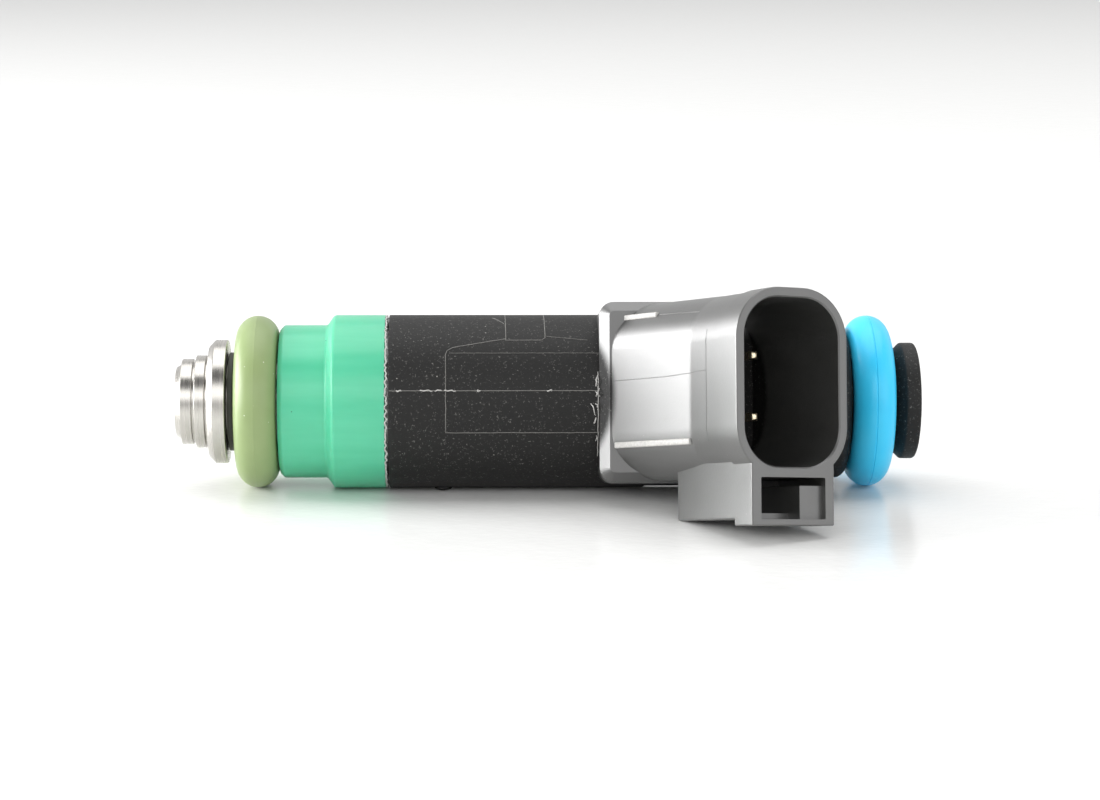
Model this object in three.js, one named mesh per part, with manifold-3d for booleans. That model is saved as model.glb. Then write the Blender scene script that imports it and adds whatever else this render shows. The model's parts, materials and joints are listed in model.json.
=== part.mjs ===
// Port fuel injector, lying on its two sealing rings and on the latch guard of its connector.
// Millimetres. +X runs along the injector's axis from the spray tip to the fuel inlet, the
// connector leans out towards -Y, and +Z is up. The origin is the centre of the spray tip.
import * as THREE from 'three';
import { mergeVertices } from 'three/addons/utils/BufferGeometryUtils.js';
import Module from 'manifold-3d';

const wasm = await Module();
wasm.setup();

// ---- driving dimensions ---------------------------------------------------------------------

// Clearances
const fit = 0.15;          // round pieces that sit inside one another
const partGap = 0.3;       // moulded faces that meet end to end, and cuts made for a neighbour
const sealGap = 0.12;      // each side of a sealing ring
const neckGap = 0.165;     // a sealing ring to the neck that it sits on
const closeGap = 0.1;      // pieces stacked or pressed face to face
const past = 1;            // how far a cutting solid runs past the face it opens

// Sealing rings, one size at both ends
const ringOuterRadius = 7.325;
const ringSection = 3.56;

// Stepped steel nozzle, from the tip inwards
const tipFaceRadius = 2.9;
const tipRadius = 3.2;
const tipLength = 0.5;
const thirdLandRadius = 3.6;
const thirdLandLength = 0.95;
const secondLandRadius = 3.9;
const secondLandLength = 0.85;
const firstLandRadius = 5.2;
const firstLandLength = 1.55;
const firstLandChamfer = 0.5;
const landGrooveWidth = 0.25;
const landGrooveDepth = 0.35;
const bodyRadius = 3.7;
const backupWasherRadius = 4.15;
const backupWasherThickness = 0.5;

// Green locating sleeve
const sleeveNoseRadius = 6.44;
const sleeveNoseLength = 3.95;
const sleeveConeLength = 0.6;
const sleeveSkirtStep = 0.01; // skirt below the barrel beside it
const sleeveSkirtLength = 4.3;
const sleeveChamfer = 0.35;
const housingLap = 1.4;    // how far the steel can reaches into the sleeve

// Black overmoulding
const barrelLength = 21.4;
const barrelChamfer = 0.7;
const rearBarrelRadius = 6.55;
const rearBarrelLength = 16.44;
const rearBarrelRound = 0.9;
const overmouldWall = 1.15;
const flangeConeRadius = 3.95;
const flangeConeLength = 0.95;
const flangeRadius = 4.92;
const flangeLength = 1.2;
const flangeRound = 0.25;

// Connector tower: U runs along it from the injector's axis, V across towards the inlet, W up
const towerTilt = THREE.MathUtils.degToRad(27);
const towerSetBack = 0.44;  // foot of the tower's axis behind the end of the large barrel
const towerReach = 22;
const towerLowV = 5.15;     // half widths, nozzle side and inlet side
const towerHighV = 5.25;
const towerHalfHeight = 7.45;
const towerOffset = 0.3;    // the tower sits this far above the injector's axis
const towerCorner = 4;
const towerWall = 0.8;
const towerRootSpread = 1.73; // extra width of the nozzle side where it leaves the root pad
const towerRootU = 5.6;
const towerBuriedU = 1.9;   // where the tower starts, inside the barrel
const towerCreaseU = 15.04;
const collarLength = 2.6;
const collarStep = 0.12;
const socketDepth = 12.5;

// Pad on the barrel that the tower grows out of
const padSetBack = 4.0;     // nozzle side of the pad ahead of the end of the large barrel
const padLength = 12.2;
const padRise = 0.8;        // height above the large barrel
const padBack = 1.0;        // how far the pad runs past the axis
const padChamfer = 0.86;
const padCorner = 1.2;

// Latch guard under the tower
const guardLowV = -3.8;
const guardHighV = 3.9;
const guardDepth = 10.42;       // underside of the guard below the injector's axis
const guardCollarStep = 0.5;    // the guard's collar stands this much lower
const guardInnerOffset = 11.5;  // the guard's inner end, measured out from the axis
const guardWall = 0.85;
const guardFloor = 0.5;
const latchPocketDepth = 6.6;
const latchRibWidth = 2.1;
const latchRibRecess = 0.5;
const latchRibGap = 0.6;

// Terminals
const pinPitch = 4.92;
const pinSize = 0.64;
const pinBelowRim = 5.3;

// Magnet circuit
const housingCover = 1.8;       // overmoulding past the end of the steel can
const housingWall = 0.7;
const housingEndWall = 1.3;
const fluxWasherThickness = 1.3;
const bobbinFlange = 0.8;
const bobbinWall = 0.35;
const windingDepth = 0.95;
const windingRidges = 6;
const poleOffset = 6.7;         // pole face from the bobbin's first flange
const poleBore = 1.55;
const inletNeckWall = 0.7;      // moulding round the fuel tube, under the blue ring
const inletTubeWall = 0.6;
const inletBoreLength = 14.2;
const inletRecess = 0.15;
const shellOverlap = 1.7;       // non-magnetic ring, each side of the pole face

// Valve
const needleLift = 0.1;
const stopClearance = 0.05;
const plateRadius = 2.4;
const plateThickness = 0.3;
const orificeRadius = 0.16;
const orificePitch = 0.85;
const seatLength = 2.75;
const seatThroatRadius = 0.6;
const seatThroatLength = 0.78;
const ballRadius = 1.4;
const ballGap = 0.12;
const guideThickness = 0.8;
const guideHoleRadius = 0.32;
const guideHolePitch = 1.98;
const needleRadius = 1.1;
const needleBore = 0.75;
const needlePortRadius = 0.35;
const armatureRadius = 2.85;
const armatureLength = 6.4;
const needleLap = 1.9;          // needle tube inside the armature
const springWire = 0.17;
const springRadius = 1.12;
const springTurns = 8;
const springLength = 9.0;
const adjusterLength = 7.5;
const adjusterRadius = 1.4;
const adjusterBore = 0.9;
const adjusterSlit = 0.4;

// Fuel filter in the inlet
const filterLength = 10.4;
const filterWall = 0.4;
const filterWindow = 1.3;
const screenWall = 0.18;
const filterCap = 0.6;
const filterHoop = 1.1;         // solid rings beside the windows
const collarRingLength = 1.5;
const collarRingWall = 0.45;

// Facets round the axis
const coarse = 16;
const medium = 24;
const fine = 40;

// ---- radii that follow from the driving dimensions --------------------------------------------

const ringCentreRadius = ringOuterRadius - ringSection / 2;
const sealNeckRadius = ringOuterRadius - ringSection - neckGap;
const inletTubeRadius = sealNeckRadius - inletNeckWall;
const inletBore = inletTubeRadius - inletTubeWall;
const filterRadius = inletBore - partGap;
const filterBore = filterRadius - filterWall;
const collarRingRadius = inletBore - closeGap;
const collarRingBore = collarRingRadius - collarRingWall;
const bobbinBore = bodyRadius + fit;
const bobbinCoreRadius = bobbinBore + bobbinWall;
const bobbinFlangeRadius = bobbinCoreRadius + windingDepth;
const housingBore = bobbinFlangeRadius + fit;
const housingRadius = housingBore + housingWall;
const barrelRadius = housingRadius + fit + overmouldWall;
const sleeveSkirtRadius = barrelRadius - sleeveSkirtStep;

// ---- stations along the axis ----------------------------------------------------------------

const thirdLandStart = tipLength;
const thirdLandEnd = thirdLandStart + thirdLandLength;
const secondLandStart = thirdLandEnd + landGrooveWidth;
const secondLandEnd = secondLandStart + secondLandLength;
const firstLandStart = secondLandEnd + landGrooveWidth;
const firstLandEnd = firstLandStart + firstLandLength;
const backupStart = firstLandEnd + closeGap;
const backupEnd = backupStart + backupWasherThickness;
const lowerRingCentre = backupEnd + sealGap + ringSection / 2;
const sleeveStart = lowerRingCentre + ringSection / 2 + sealGap;
const sleeveConeStart = sleeveStart + sleeveNoseLength;
const sleeveSkirtStart = sleeveConeStart + sleeveConeLength;
const sleeveEnd = sleeveSkirtStart + sleeveSkirtLength;
const barrelStart = sleeveEnd + partGap;
const barrelEnd = barrelStart + barrelLength;
const rearBarrelStart = barrelEnd + barrelChamfer;
const shoulder = rearBarrelStart + rearBarrelLength;
const upperRingCentre = shoulder + sealGap + ringSection / 2;
const flangeStart = upperRingCentre + ringSection / 2 + sealGap;
const flangeConeEnd = flangeStart + flangeConeLength;
const inletFace = flangeConeEnd + flangeLength;

const housingStart = sleeveEnd - housingLap;
const housingEnd = barrelEnd - housingCover;
const washerEnd = housingEnd - closeGap;
const washerStart = washerEnd - fluxWasherThickness;
const bobbinStart = housingStart + housingEndWall + fit;
const bobbinEnd = washerStart - fit;

const poleFace = bobbinStart + poleOffset;
const shellStart = poleFace - shellOverlap;
const shellEnd = poleFace + shellOverlap;
const armatureEnd = poleFace - needleLift - stopClearance;
const armatureStart = armatureEnd - armatureLength;
const armatureBoreRadius = armatureRadius + fit;
const seatBoreRadius = plateRadius + closeGap;
const seatStart = plateThickness + closeGap;
const seatEnd = seatStart + seatLength;
const throatEnd = seatStart + seatThroatLength;
const ballCentre = throatEnd - seatThroatRadius + (ballRadius + ballGap) * Math.SQRT2;
const guideStart = seatEnd + closeGap;
const guideEnd = guideStart + guideThickness;
const needleMouth = Math.sqrt((ballRadius + fit) ** 2 - needleBore ** 2);
const needleStart = ballCentre + needleMouth;
const needleEnd = armatureStart + needleLap;
const springSeat = needleEnd + fit + partGap;
const springStart = springSeat + fit + springWire;
const springEnd = springStart + springLength;
const adjusterStart = springEnd + springWire + fit;
const adjusterEnd = adjusterStart + adjusterLength;

const tubeEnd = inletFace - inletRecess;
const inletBoreStart = tubeEnd - inletBoreLength;
const collarRingEnd = tubeEnd - closeGap;
const collarRingStart = collarRingEnd - collarRingLength;
const filterEnd = collarRingStart - closeGap;
const filterStart = filterEnd - filterLength;

const towerFoot = barrelEnd + towerSetBack;
const pinTip = towerReach - pinBelowRim;
const socketFloor = towerReach - socketDepth;
const padStart = barrelEnd - padSetBack;
const padTop = barrelRadius + padRise;

// The injector lies on its rings and on the inner edge of the guard's underside, which turns
// the connector up by this angle.
const restRoll = Math.acos(ringOuterRadius / Math.hypot(guardDepth, guardInnerOffset))
  - Math.atan2(guardInnerOffset, guardDepth);

// ---- materials ------------------------------------------------------------------------------

const finish = (color, roughness, metalness) =>
  new THREE.MeshStandardMaterial({ color, roughness, metalness });
const blackNylon = finish(0x1c1b1a, 0.55, 0);
const greenPlastic = finish(0x52c59a, 0.4, 0);
const oliveRubber = finish(0x93a870, 0.5, 0);
const blueRubber = finish(0x39b1ea, 0.35, 0);
const blackPlastic = finish(0x141414, 0.5, 0);
const turnedSteel = finish(0xb9b9b6, 0.25, 1);
const magneticSteel = finish(0x8f8f8d, 0.4, 1);
const hardSteel = finish(0xd0d0d0, 0.12, 1);
const springSteel = finish(0x9a9a98, 0.3, 1);
const copperWire = finish(0xb4602c, 0.35, 1);
const brass = finish(0xc9a253, 0.3, 1);
const tinPlate = finish(0xd9c9a0, 0.3, 1);
const bobbinNylon = finish(0xd8d2c4, 0.6, 0);
const screenCloth = finish(0xe6e3da, 0.8, 0);

// ---- helpers --------------------------------------------------------------------------------

// A closed outline of [x, radius] points spun round the X axis.
function turned(outline, segments) {
  const points = outline.map(([x, radius]) => new THREE.Vector2(radius, x));
  return new THREE.LatheGeometry(points, segments).rotateZ(-Math.PI / 2);
}

// A ring or tube whose bore goes right through.
function tube(start, end, bore, radius, segments) {
  const outline = [[start, bore], [start, radius], [end, radius], [end, bore], [start, bore]];
  return turned(outline, segments);
}

// Points of a quarter circle, as [x, radius], from one angle to another.
function arc(x, y, radius, from, to, steps) {
  const at = (i) => from + ((to - from) * i) / steps;
  return Array.from({ length: steps + 1 }, (_, i) =>
    [x + radius * Math.cos(at(i)), y + radius * Math.sin(at(i))]);
}

function toSolid(geometry) {
  const bare = geometry.clone();
  bare.deleteAttribute('normal');
  bare.deleteAttribute('uv');
  const merged = mergeVertices(bare.index ? bare.toNonIndexed() : bare, 1e-5);
  const corners = merged.index.array;
  const kept = [];
  for (let i = 0; i < corners.length; i += 3) {
    const [a, b, c] = [corners[i], corners[i + 1], corners[i + 2]];
    if (a !== b && b !== c && a !== c) kept.push(a, b, c);
  }
  return new wasm.Manifold(new wasm.Mesh({
    numProp: 3,
    vertProperties: Float32Array.from(merged.attributes.position.array),
    triVerts: Uint32Array.from(kept),
  }));
}

function toGeometry(solid) {
  const mesh = solid.getMesh();
  const geometry = new THREE.BufferGeometry();
  geometry.setAttribute('position', new THREE.BufferAttribute(mesh.vertProperties, mesh.numProp));
  geometry.setIndex(new THREE.BufferAttribute(mesh.triVerts, 1));
  geometry.computeVertexNormals();
  return geometry;
}

const join = (...pieces) => pieces.map(toSolid).reduce((whole, piece) => whole.add(piece));
const cut = (solid, ...tools) => tools.map(toSolid).reduce((left, tool) => left.subtract(tool), solid);

function outlineShape(points) {
  return new THREE.Shape(points.map(([x, y]) => new THREE.Vector2(x, y)));
}

function extruded(shape, depth, curveSegments = 1) {
  return new THREE.ExtrudeGeometry(shape, { depth, curveSegments, bevelEnabled: false });
}

function box(x0, x1, y0, y1, z0, z1) {
  const centre = [(x0 + x1) / 2, (y0 + y1) / 2, (z0 + z1) / 2];
  return new THREE.BoxGeometry(x1 - x0, y1 - y0, z1 - z0).translate(...centre);
}

// A rounded rectangle, as a shape.
function roundedRectangle(x0, x1, y0, y1, radius) {
  const shape = new THREE.Shape();
  shape.absarc(x1 - radius, y1 - radius, radius, 0, Math.PI / 2);
  shape.absarc(x0 + radius, y1 - radius, radius, Math.PI / 2, Math.PI);
  shape.absarc(x0 + radius, y0 + radius, radius, Math.PI, Math.PI * 1.5);
  shape.absarc(x1 - radius, y0 + radius, radius, Math.PI * 1.5, Math.PI * 2);
  return shape;
}

// A tower that changes its section on the way up. Each section is a rounded rectangle in V and
// W: a plain extrusion of a four-unit square with one-unit corners is pulled to the sections.
function lofted(sections) {
  const spans = sections.length - 1;
  const square = roundedRectangle(-2, 2, -2, 2, 1);
  const settings = { depth: spans, steps: spans, curveSegments: 5, bevelEnabled: false };
  const geometry = new THREE.ExtrudeGeometry(square, settings);
  const position = geometry.attributes.position;
  for (let i = 0; i < position.count; i++) {
    const section = sections[Math.round(position.getZ(i))];
    const { at, lowV, highV, half, corner } = section;
    const [x, y] = [position.getX(i), position.getY(i)];
    const inV = corner * (Math.abs(x) - 1) - corner;
    const inW = corner * (Math.abs(y) - 1) - corner;
    const v = x > 0 ? highV + inV : -(lowV + inV);
    const w = Math.sign(y) * (half + inW);
    position.setXYZ(i, v, w + towerOffset, at);
  }
  return geometry;
}

// The tower's own axes, as a matrix: V, W and U as the columns, standing at its foot.
const towerU = new THREE.Vector3(Math.sin(towerTilt), -Math.cos(towerTilt), 0);
const towerV = new THREE.Vector3(Math.cos(towerTilt), Math.sin(towerTilt), 0);
const towerFrame = new THREE.Matrix4()
  .makeBasis(towerV, new THREE.Vector3(0, 0, 1), towerU)
  .setPosition(towerFoot, 0, 0);
const inTower = (geometry) => geometry.applyMatrix4(towerFrame);

// ---- turned and pressed pieces --------------------------------------------------------------

function nozzleBody() {
  const grooveRadius = thirdLandRadius - landGrooveDepth;
  const secondGrooveRadius = secondLandRadius - landGrooveDepth;
  return turned([
    [0, seatBoreRadius],
    [0, tipFaceRadius],
    [tipLength, tipRadius],
    [thirdLandStart, thirdLandRadius],
    [thirdLandEnd, thirdLandRadius],
    [thirdLandEnd, grooveRadius],
    [secondLandStart, grooveRadius],
    [secondLandStart, secondLandRadius],
    [secondLandEnd, secondLandRadius],
    [secondLandEnd, secondGrooveRadius],
    [firstLandStart, secondGrooveRadius],
    [firstLandStart, firstLandRadius - firstLandChamfer],
    [firstLandStart + firstLandChamfer, firstLandRadius],
    [firstLandEnd, firstLandRadius],
    [firstLandEnd, sealNeckRadius],
    [sleeveStart, sealNeckRadius],
    [sleeveStart, bodyRadius],
    [shellStart - fit, bodyRadius],
    [shellStart - fit, armatureBoreRadius],
    [armatureStart - partGap, armatureBoreRadius],
    [armatureStart - partGap, seatBoreRadius],
    [0, seatBoreRadius],
  ], medium);
}

function orificePlate() {
  const disc = [[0, 0], [0, plateRadius], [plateThickness, plateRadius], [plateThickness, 0]];
  const holes = [0, 1, 2, 3].map((quarter) => {
    const angle = Math.PI / 4 + (quarter * Math.PI) / 2;
    return new THREE.CylinderGeometry(orificeRadius, orificeRadius, plateThickness * 3, 8)
      .rotateZ(Math.PI / 2)
      .translate(plateThickness / 2, orificePitch * Math.cos(angle), orificePitch * Math.sin(angle));
  });
  return toGeometry(cut(toSolid(turned(disc, coarse)), ...holes));
}

function valveSeat() {
  const guideBore = ballRadius + fit;
  const coneEnd = throatEnd + guideBore - seatThroatRadius;
  return turned([
    [seatStart, seatThroatRadius],
    [seatStart, plateRadius],
    [seatEnd, plateRadius],
    [seatEnd, guideBore],
    [coneEnd, guideBore],
    [throatEnd, seatThroatRadius],
    [seatStart, seatThroatRadius],
  ], coarse);
}

function ballGuide() {
  const ring = toSolid(tube(guideStart, guideEnd, ballRadius + fit, plateRadius, coarse));
  const holes = [0, 1, 2, 3].map((quarter) => {
    const angle = (quarter * Math.PI) / 2;
    return new THREE.CylinderGeometry(guideHoleRadius, guideHoleRadius, guideThickness * 3, 8)
      .rotateZ(Math.PI / 2)
      .translate(guideStart, guideHolePitch * Math.cos(angle), guideHolePitch * Math.sin(angle));
  });
  return toGeometry(cut(ring, ...holes));
}

function valveBall() {
  return turned(arc(ballCentre, 0, ballRadius, Math.PI, 0, 8), coarse);
}

function needleTube() {
  const wall = toSolid(tube(needleStart, needleEnd, needleBore, needleRadius, coarse));
  const port = new THREE.CylinderGeometry(
    needlePortRadius, needlePortRadius, needleRadius * 3, 8,
  ).translate(needleStart + needleRadius * 2, 0, 0);
  return toGeometry(cut(wall, port));
}

function armature() {
  const springPocket = springRadius + springWire + fit;
  return turned([
    [armatureStart, needleRadius + fit],
    [armatureStart, armatureRadius],
    [armatureEnd, armatureRadius],
    [armatureEnd, springPocket],
    [springSeat, springPocket],
    [springSeat, needleRadius - fit],
    [needleEnd + fit, needleRadius - fit],
    [needleEnd + fit, needleRadius + fit],
    [armatureStart, needleRadius + fit],
  ], coarse);
}

class Helix extends THREE.Curve {
  getPoint(t, target = new THREE.Vector3()) {
    const angle = t * springTurns * Math.PI * 2;
    const x = springStart + springLength * t;
    return target.set(x, springRadius * Math.cos(angle), springRadius * Math.sin(angle));
  }
}

function returnSpring() {
  const wire = new THREE.Shape().absarc(0, 0, springWire, 0, Math.PI * 2);
  return new THREE.ExtrudeGeometry(wire, {
    steps: springTurns * 10, curveSegments: 3, bevelEnabled: false, extrudePath: new Helix(),
  });
}

function adjustingSleeve() {
  const wall = toSolid(tube(adjusterStart, adjusterEnd, adjusterBore, adjusterRadius, coarse));
  const slit = box(adjusterStart - past, adjusterEnd + past, 0, adjusterRadius + past,
    -adjusterSlit / 2, adjusterSlit / 2);
  return toGeometry(cut(wall, slit));
}

// Fixed pole and fuel tube in one turned piece.
function inletTube() {
  return turned([
    [poleFace, poleBore],
    [poleFace, armatureRadius],
    [shellEnd + fit, armatureRadius],
    [shellEnd + fit, bodyRadius],
    [housingEnd, bodyRadius],
    [housingEnd, inletTubeRadius],
    [tubeEnd, inletTubeRadius],
    [tubeEnd, inletBore],
    [inletBoreStart, inletBore],
    [inletBoreStart, poleBore],
    [poleFace, poleBore],
  ], medium);
}

function coilHousing() {
  return turned([
    [housingStart, bodyRadius + fit],
    [housingStart, housingRadius],
    [housingEnd, housingRadius],
    [housingEnd, housingBore],
    [housingStart + housingEndWall, housingBore],
    [housingStart + housingEndWall, bodyRadius + fit],
    [housingStart, bodyRadius + fit],
  ], medium);
}

function coilBobbin() {
  return turned([
    [bobbinStart, bobbinBore],
    [bobbinStart, bobbinFlangeRadius],
    [bobbinStart + bobbinFlange, bobbinFlangeRadius],
    [bobbinStart + bobbinFlange, bobbinCoreRadius],
    [bobbinEnd - bobbinFlange, bobbinCoreRadius],
    [bobbinEnd - bobbinFlange, bobbinFlangeRadius],
    [bobbinEnd, bobbinFlangeRadius],
    [bobbinEnd, bobbinBore],
    [bobbinStart, bobbinBore],
  ], medium);
}

// The layered turns, with the outer layer's ridges.
function coilWinding() {
  const start = bobbinStart + bobbinFlange + fit;
  const end = bobbinEnd - bobbinFlange - fit;
  const inner = bobbinCoreRadius + closeGap;
  const outer = bobbinFlangeRadius - closeGap;
  const step = (end - start) / windingRidges;
  const ridges = Array.from({ length: windingRidges }, (_, i) => [
    [start + step * i, outer - closeGap],
    [start + step * (i + 0.5), outer],
  ]).flat();
  return turned([[start, inner], ...ridges, [end, outer - closeGap], [end, inner],
    [start, inner]], coarse);
}

const nonmagneticRing = () => tube(shellStart, shellEnd, armatureBoreRadius, bodyRadius, medium);

function backupWasher() {
  return tube(backupStart, backupEnd, sealNeckRadius + closeGap, backupWasherRadius, medium);
}

function sealingRing(centre) {
  const section = arc(centre, ringCentreRadius, ringSection / 2, Math.PI, -Math.PI, 10);
  section[section.length - 1] = section[0];
  return turned(section, fine);
}

function locatingSleeve() {
  return turned([
    [sleeveStart, bodyRadius + fit],
    [sleeveStart, sleeveNoseRadius - sleeveChamfer],
    [sleeveStart + sleeveChamfer, sleeveNoseRadius],
    [sleeveConeStart, sleeveNoseRadius],
    [sleeveSkirtStart, sleeveSkirtRadius],
    [sleeveEnd, sleeveSkirtRadius],
    [sleeveEnd, housingRadius + fit],
    [housingStart - fit, housingRadius + fit],
    [housingStart - fit, bodyRadius + fit],
    [sleeveStart, bodyRadius + fit],
  ], fine);
}

// ---- overmoulding ---------------------------------------------------------------------------

function overmouldOutside() {
  return turned([
    [barrelStart, 0],
    [barrelStart, barrelRadius],
    [barrelEnd, barrelRadius],
    [rearBarrelStart, rearBarrelRadius],
    ...arc(shoulder - rearBarrelRound, rearBarrelRadius - rearBarrelRound, rearBarrelRound,
      Math.PI / 2, 0, 3),
    [shoulder, sealNeckRadius],
    [flangeStart, sealNeckRadius],
    [flangeStart, flangeConeRadius],
    [flangeConeEnd, flangeRadius],
    [inletFace - flangeRound, flangeRadius],
    [inletFace, flangeRadius - flangeRound],
    [inletFace, 0],
  ], fine);
}

// The bore that the steel can and the fuel tube fill.
function overmouldBore() {
  const canBore = housingRadius + fit;
  const tubeBore = inletTubeRadius + fit;
  return turned([
    [barrelStart - past, 0],
    [barrelStart - past, canBore],
    [housingEnd + fit, canBore],
    [housingEnd + fit, tubeBore],
    [inletFace + past, tubeBore],
    [inletFace + past, 0],
  ], medium);
}

// The pad: its side view, cut down to rounded corners as seen from the front.
function rootPad() {
  const end = padStart + padLength;
  const side = outlineShape([
    [padStart, padBack], [padStart, -barrelRadius], [padStart + padChamfer, -padTop],
    [end - padChamfer, -padTop], [end, -barrelRadius], [end, padBack],
  ].reverse());
  const low = towerOffset - towerHalfHeight;
  const high = towerOffset + towerHalfHeight;
  const slab = extruded(side, high - low).translate(0, 0, low);
  const front = roundedRectangle(padStart, end, low, high, padCorner);
  const depth = padTop + padBack * 2;
  const corners = extruded(front, depth, 4).rotateX(Math.PI / 2).translate(0, padBack * 1.5, 0);
  return toSolid(slab).intersect(toSolid(corners));
}

function towerBody() {
  const collarStart = towerReach - collarLength;
  const plain = {
    lowV: towerLowV - collarStep, highV: towerHighV - collarStep,
    half: towerHalfHeight - collarStep, corner: towerCorner,
  };
  const collar = {
    lowV: towerLowV, highV: towerHighV, half: towerHalfHeight, corner: towerCorner,
  };
  return inTower(lofted([
    { ...plain, at: towerBuriedU, lowV: towerLowV },
    { ...plain, at: towerRootU, lowV: towerLowV + towerRootSpread },
    { ...plain, at: towerCreaseU },
    { ...plain, at: collarStart - collarStep },
    { ...collar, at: collarStart },
    { ...collar, at: towerReach },
  ]));
}

function towerSocket() {
  const inside = {
    lowV: towerLowV - towerWall, highV: towerHighV - towerWall,
    half: towerHalfHeight - towerWall, corner: towerCorner - towerWall,
  };
  return inTower(lofted([{ ...inside, at: socketFloor }, { ...inside, at: towerReach + past }]));
}

// The guard is a box in the tower's axes, with its inner end cut parallel to the injector.
function latchGuard() {
  const top = towerOffset - towerHalfHeight + towerWall * 2;
  const collarStart = towerReach - collarLength;
  const block = inTower(box(guardLowV, guardHighV, -guardDepth, top, 0, collarStart + past));
  const rim = inTower(box(guardLowV, guardHighV, -guardDepth - guardCollarStep, top,
    collarStart, towerReach));
  const inner = box(0, inletFace * 2, -guardInnerOffset, guardInnerOffset,
    -guardDepth * 2, guardDepth * 2);
  return cut(join(block, rim), inner);
}

// Where the plug's latch enters, beside a rib. The floor drops at the mouth, in the collar.
function latchPocket() {
  const floor = guardFloor - guardDepth;
  const mouthFloor = floor - guardCollarStep;
  const mouth = towerReach - collarLength + guardFloor;
  const top = towerOffset - towerHalfHeight;
  const [low, high] = [guardLowV + guardWall, guardHighV - guardWall];
  const pocket = join(
    inTower(box(low, high, floor, top, towerReach - latchPocketDepth, towerReach + past)),
    inTower(box(low, high, mouthFloor, top, mouth, towerReach + past)),
  );
  const rib = box(high - latchRibWidth, guardHighV, mouthFloor - past, top - latchRibGap,
    0, towerReach - latchRibRecess);
  return toGeometry(cut(pocket, inTower(rib)));
}

// A terminal's foot lies half way between the pole and the can, as far out as its own W allows.
const footCircle = (bobbinBore + bobbinFlangeRadius) / 2;
const footOffset = (w) => Math.sqrt(footCircle ** 2 - w ** 2);
const bendU = (w) => footOffset(w) / Math.cos(towerTilt);
const alongTower = (u) => new THREE.Vector2(towerFoot + u * towerU.x, u * towerU.y);

function strip(line, half) {
  const side = (sign) => line.map((point, i) => {
    const before = line[Math.max(i - 1, 0)];
    const after = line[Math.min(i + 1, line.length - 1)];
    const normals = [[before, point], [point, after]]
      .filter(([a, b]) => !a.equals(b))
      .map(([a, b]) => b.clone().sub(a).normalize().rotateAround(new THREE.Vector2(), Math.PI / 2));
    const mean = normals.reduce((sum, n) => sum.clone().add(n)).normalize();
    return point.clone().addScaledVector(mean, (sign * half) / mean.dot(normals[0]));
  });
  return new THREE.Shape([...side(-1), ...side(1).reverse()]);
}

// Centre line of a terminal in X and Y: along the coil, then up the tower.
function terminalLine(w, start, end) {
  return [new THREE.Vector2(start, -footOffset(w)), alongTower(bendU(w)), alongTower(end)];
}

function terminal(w) {
  const line = terminalLine(w, washerStart, pinTip);
  return extruded(strip(line, pinSize / 2), pinSize).translate(0, 0, w - pinSize / 2);
}

function terminalPassage(w, start, end) {
  const line = terminalLine(w, start, end);
  const size = pinSize + partGap * 2;
  return extruded(strip(line, size / 2), size).translate(0, 0, w - size / 2);
}

const pinPlaces = [towerOffset + pinPitch / 2, towerOffset - pinPitch / 2];

// An open washer: both terminals come out of the coil through its gap.
function fluxWasher() {
  const ring = toSolid(tube(washerStart, washerEnd, bobbinBore, housingBore - fit, medium));
  const margin = pinSize / 2 + partGap;
  const gap = box(washerStart - past, washerEnd + past, -housingRadius, 0,
    pinPlaces[1] - margin, pinPlaces[0] + margin);
  return toGeometry(cut(ring, gap));
}

function overmouldBody() {
  const whole = join(overmouldOutside(), towerBody()).add(rootPad()).add(latchGuard());
  const passages = pinPlaces.map((w) =>
    terminalPassage(w, housingEnd - partGap, socketFloor + partGap));
  return toGeometry(cut(whole, overmouldBore(), towerSocket(), latchPocket(), ...passages));
}

// ---- fuel filter ----------------------------------------------------------------------------

function filterFrame() {
  const cage = toSolid(turned([
    [filterStart, 0], [filterStart, filterRadius], [filterEnd, filterRadius],
    [filterEnd, filterBore], [filterStart + filterCap, filterBore], [filterStart + filterCap, 0],
  ], coarse));
  const length = (filterLength - filterCap - filterHoop * 3) / 2;
  const halfWindow = filterWindow / 2;
  const firstRow = filterStart + filterCap + filterHoop;
  const rows = [firstRow, firstRow + length + filterHoop];
  const windows = rows.flatMap((start) => [
    box(start, start + length, -filterRadius - past, filterRadius + past, -halfWindow, halfWindow),
    box(start, start + length, -halfWindow, halfWindow, -filterRadius - past, filterRadius + past),
  ]);
  return toGeometry(cut(cage, ...windows));
}

function filterScreen() {
  const outer = filterBore - fit;
  return tube(filterStart + filterCap + fit, filterEnd, outer - screenWall, outer, coarse);
}

function filterCollar() {
  return tube(collarRingStart, collarRingEnd, collarRingBore, collarRingRadius, coarse);
}

// ---- the object -----------------------------------------------------------------------------

const injector = new THREE.Group();
injector.rotation.x = -restRoll;

function place(name, geometry, material) {
  const mesh = new THREE.Mesh(geometry, material);
  mesh.name = name;
  injector.add(mesh);
}

place('nozzle_body', nozzleBody(), turnedSteel);
place('orifice_plate', orificePlate(), hardSteel);
place('valve_seat', valveSeat(), hardSteel);
place('ball_guide', ballGuide(), hardSteel);
place('valve_ball', valveBall(), hardSteel);
place('needle_tube', needleTube(), turnedSteel);
place('armature', armature(), magneticSteel);
place('return_spring', returnSpring(), springSteel);
place('adjusting_sleeve', adjustingSleeve(), turnedSteel);
place('inlet_tube', inletTube(), magneticSteel);
place('nonmagnetic_ring', nonmagneticRing(), turnedSteel);
place('backup_washer', backupWasher(), blackPlastic);
place('lower_o_ring', sealingRing(lowerRingCentre), oliveRubber);
place('locating_sleeve', locatingSleeve(), greenPlastic);
place('coil_housing', coilHousing(), magneticSteel);
place('coil_bobbin', coilBobbin(), bobbinNylon);
place('coil_winding', coilWinding(), copperWire);
place('flux_washer', fluxWasher(), magneticSteel);
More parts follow.
